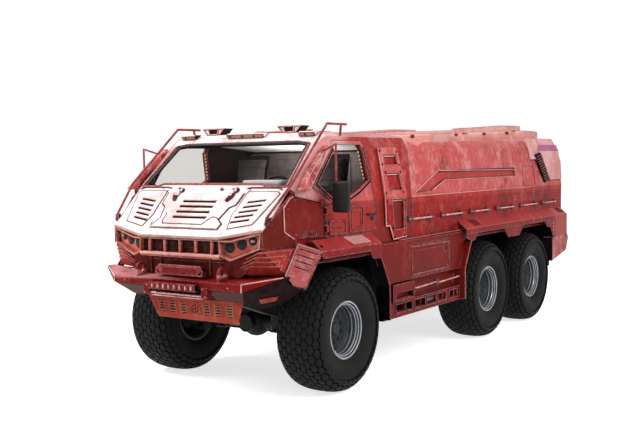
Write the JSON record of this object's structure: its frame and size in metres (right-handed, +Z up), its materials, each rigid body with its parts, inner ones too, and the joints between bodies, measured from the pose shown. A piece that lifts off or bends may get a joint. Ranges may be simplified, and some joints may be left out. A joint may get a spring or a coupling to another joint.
{
  "type": "off-road passenger truck",
  "caption": "Off-road passenger truck with a faceted plated cab, sloping louvred hood, long rear passenger body, roof tray, stepped side skirts and large low-pressure tyres.",
  "frame": {"origin": "on the ground under the middle of the vehicle, between the nose and the tow hitch", "axes": "+Z up, front towards -Y, the vehicle's left side towards +X"},
  "size_m": [2.944, 7.756, 2.855],
  "materials": {
    "paint": "weathered dark red paint",
    "pod_paint": "faded purple-red paint",
    "chassis": "dark chassis paint",
    "spring_steel": "dull steel",
    "castings": "rough cast",
    "rim": "silver paint",
    "tyre": "black tread rubber",
    "rubber": "soft black grip",
    "glass": "tinted glass",
    "lamp": "dark lens",
    "trim": "grained black",
    "upholstery": "dark woven cloth"
  },
  "bodies": {
    "truck": {"chassis_frame": "chassis", "front_axle": "chassis", "rear_axles": "chassis", "leaf_springs": "spring_steel", "engine_block": "castings", "driveline": "castings", "tow_hitch": "chassis", "cab_shell": "paint", "cab_floor": "chassis", "windshield": "glass", "nose_shell": "paint", "grille_frame": "paint", "front_lamps": "lamp", "bumper": "paint", "skid_plate": "paint", "rear_bumper": "paint", "passenger_body": "paint", "roof_rack": "paint", "roof_lamps": "paint", "dashboard": "trim", "seat_frames": "chassis", "seat_cushions": "upholstery", "fuel_tanks": "chassis", "fenders": "paint", "side_skirts": "paint", "rear_pods": "pod_paint", "ladder_plates": "paint", "guard_rails": "paint", "mirrors": "trim"},
    "wheel_front_left": {"tyre_front_left": "tyre", "rim_front_left": "rim"},
    "wheel_front_right": {"tyre_front_right": "tyre", "rim_front_right": "rim"},
    "wheel_middle_left": {"tyre_middle_left": "tyre", "rim_middle_left": "rim"},
    "wheel_middle_right": {"tyre_middle_right": "tyre", "rim_middle_right": "rim"},
    "wheel_rear_left": {"tyre_rear_left": "tyre", "rim_rear_left": "rim"},
    "wheel_rear_right": {"tyre_rear_right": "tyre", "rim_rear_right": "rim"},
    "knuckle_left": {"knuckle_left": "castings"},
    "knuckle_right": {"knuckle_right": "castings"},
    "tie_rod": {"tie_rod": "spring_steel"},
    "door_left": {"door_left": "paint", "door_glass_left": "glass"},
    "door_right": {"door_right": "paint", "door_glass_right": "glass"},
    "hood_lid": {"hood_lid": "paint"},
    "rear_door": {"rear_door": "paint"},
    "locker_left": {"locker_door_left": "paint"},
    "locker_right": {"locker_door_right": "paint"},
    "steering_wheel": {"steering_wheel": "rubber"}
  },
  "joints": [
    {"name": "steer_left", "type": "hinge", "parent": "truck", "child": "knuckle_left", "pos_m": [0.82, -2.622, 0.643], "axis": [0, 0, 1], "range_deg": [-28, 28]},
    {"name": "steer_right", "type": "hinge", "parent": "truck", "child": "knuckle_right", "pos_m": [-0.82, -2.622, 0.643], "axis": [0, 0, 1], "range_deg": [-28, 28]},
    {"name": "tie_rod_pivot", "type": "hinge", "parent": "knuckle_left", "child": "tie_rod", "pos_m": [0.82, -2.447, 0.513], "axis": [0, 0, 1], "range_deg": [-28, 28]},
    {"name": "steering_wheel_turn", "type": "hinge", "parent": "truck", "child": "steering_wheel", "pos_m": [0.56, -2.742, 2.04], "axis": [0, 0.8155, 0.5787], "range_deg": [-504, 504]},
    {"name": "wheel_front_left_spin", "type": "hinge", "parent": "knuckle_left", "child": "wheel_front_left", "pos_m": [1.018, -2.622, 0.643], "axis": [1, 0, 0], "continuous": true},
    {"name": "wheel_front_right_spin", "type": "hinge", "parent": "knuckle_right", "child": "wheel_front_right", "pos_m": [-1.018, -2.622, 0.643], "axis": [1, 0, 0], "continuous": true},
    {"name": "wheel_middle_left_spin", "type": "hinge", "parent": "truck", "child": "wheel_middle_left", "pos_m": [1.018, 0.858, 0.643], "axis": [1, 0, 0], "continuous": true},
    {"name": "wheel_middle_right_spin", "type": "hinge", "parent": "truck", "child": "wheel_middle_right", "pos_m": [-1.018, 0.858, 0.643], "axis": [1, 0, 0], "continuous": true},
    {"name": "wheel_rear_left_spin", "type": "hinge", "parent": "truck", "child": "wheel_rear_left", "pos_m": [1.018, 2.368, 0.643], "axis": [1, 0, 0], "continuous": true},
    {"name": "wheel_rear_right_spin", "type": "hinge", "parent": "truck", "child": "wheel_rear_right", "pos_m": [-1.018, 2.368, 0.643], "axis": [1, 0, 0], "continuous": true},
    {"name": "door_left_swing", "type": "hinge", "parent": "truck", "child": "door_left", "pos_m": [1.17, -2.867, 1.79], "axis": [0, 0, -1], "range_deg": [0, 70]},
    {"name": "door_right_swing", "type": "hinge", "parent": "truck", "child": "door_right", "pos_m": [-1.17, -2.867, 1.79], "axis": [0, 0, 1], "range_deg": [0, 70]},
    {"name": "hood_lid_lift", "type": "hinge", "parent": "truck", "child": "hood_lid", "pos_m": [0, -3.35586, 2.09011], "axis": [-1, 0, 0], "range_deg": [0, 65]},
    {"name": "rear_door_swing", "type": "hinge", "parent": "truck", "child": "rear_door", "pos_m": [-0.423, 3.794, 1.92], "axis": [0, 0, 1], "range_deg": [0, 110]},
    {"name": "locker_left_flap", "type": "hinge", "parent": "truck", "child": "locker_left", "pos_m": [1.22, -0.7525, 1.398], "axis": [0, -1, 0], "range_deg": [0, 85]},
    {"name": "locker_right_flap", "type": "hinge", "parent": "truck", "child": "locker_right", "pos_m": [-1.22, -0.7525, 1.398], "axis": [0, 1, 0], "range_deg": [0, 85]}
  ],
  "couplings": [
    {"joint": "steer_right", "follows": "steer_left", "ratio": 1},
    {"joint": "tie_rod_pivot", "follows": "steer_left", "ratio": -1},
    {"joint": "steering_wheel_turn", "follows": "steer_left", "ratio": 18}
  ]
}
